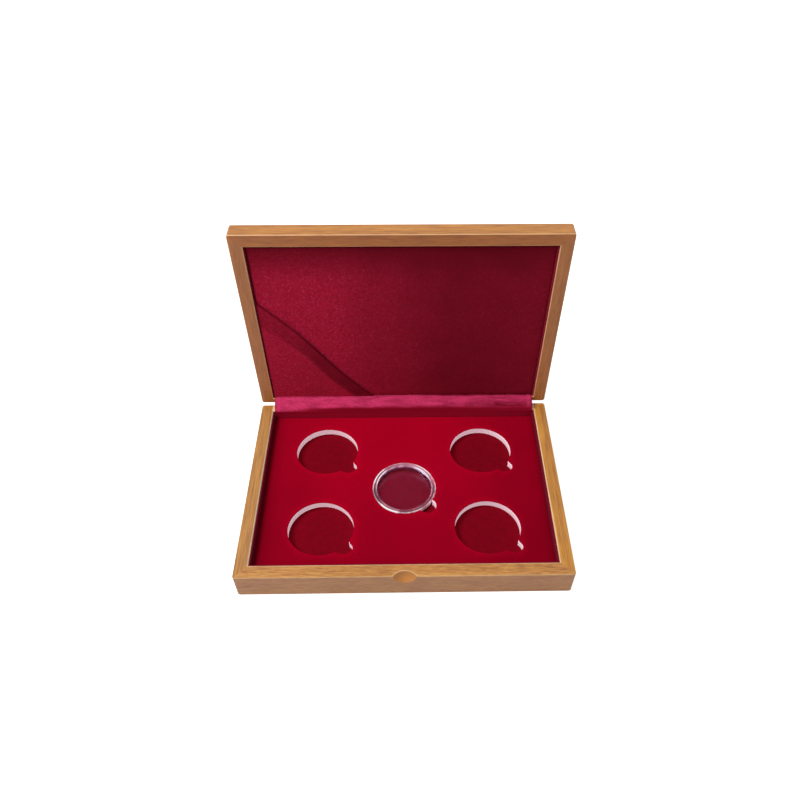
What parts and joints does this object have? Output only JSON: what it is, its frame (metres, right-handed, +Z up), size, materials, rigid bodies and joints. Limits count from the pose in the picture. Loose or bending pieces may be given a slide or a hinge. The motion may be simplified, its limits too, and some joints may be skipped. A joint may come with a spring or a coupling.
{
  "type": "coin display case",
  "caption": "Hinged wooden coin display case with a velvet-covered tray of round wells, a lined lid with a corner pocket, and a clear coin capsule.",
  "frame": {"origin": "centre of the case's underside", "axes": "+X to the right as seen from the front, +Y towards the hinges, +Z up; the lid stands open at rest"},
  "size_m": [0.225, 0.1684, 0.1779],
  "materials": {
    "wood_rails": "satin-lacquered light hardwood, sanded edges",
    "plywood_panels": "satin-lacquered veneered plywood",
    "packing_board": "raw fibreboard",
    "lining_board": "light packing board",
    "velvet_linings": "dark red velvet on card, short pile",
    "velvet_floor": "dark red velvet, short pile",
    "velvet_tray": "deep red velvet, short pile",
    "velvet_lid": "dark red velvet, short pile",
    "white_foam": "white closed-cell foam with cut walls",
    "velvet_strip": "bright pink-red velvet, cut edges",
    "hinge_brass": "pressed sheet, bright",
    "hinge_steel": "drawn wire",
    "screw_brass": "turned, bright",
    "clear_acrylic": "clear polished acrylic"
  },
  "bodies": {
    "base": {"base_front_rail": "wood_rails", "base_back_rail": "wood_rails", "base_left_rail": "wood_rails", "base_right_rail": "wood_rails", "base_bottom_panel": "plywood_panels", "floor_board": "packing_board", "base_wall_lining_front": "velvet_linings", "base_wall_lining_left": "velvet_linings", "base_wall_lining_right": "velvet_linings", "floor_velvet": "velvet_floor", "tray_velvet": "velvet_tray", "tray_foam": "white_foam", "hinge_cover_strip": "velvet_strip", "hinge_base_leaf_left": "hinge_brass", "hinge_base_leaf_right": "hinge_brass", "hinge_pin_left": "hinge_steel", "hinge_pin_right": "hinge_steel", "hinge_base_screws": "screw_brass"},
    "lid": {"lid_front_rail": "wood_rails", "lid_back_rail": "wood_rails", "lid_left_rail": "wood_rails", "lid_right_rail": "wood_rails", "lid_top_panel": "plywood_panels", "lid_lining_board": "lining_board", "lid_wall_lining_front": "velvet_linings", "lid_wall_lining_left": "velvet_linings", "lid_wall_lining_right": "velvet_linings", "lid_lining_velvet": "velvet_lid", "lid_pocket": "velvet_lid", "hinge_lid_leaf_left": "hinge_brass", "hinge_lid_leaf_right": "hinge_brass", "hinge_lid_screws": "screw_brass"},
    "capsule": {"capsule_base": "clear_acrylic"},
    "capsule_cap": {"capsule_cap": "clear_acrylic"}
  },
  "joints": [
    {"name": "lid_hinge", "type": "hinge", "parent": "base", "child": "lid", "pos_m": [0, 0.0785, 0.02195], "axis": [1, 0, 0], "range_deg": [0, 90], "deforming": ["hinge_cover_strip"]},
    {"name": "capsule_lift", "type": "slide", "parent": "base", "child": "capsule", "axis": [0, 0, 1], "range_m": [0, 0.006]},
    {"name": "capsule_cap_lift", "type": "slide", "parent": "capsule", "child": "capsule_cap", "axis": [0, 0, 1], "range_m": [0, 0.0025]}
  ]
}
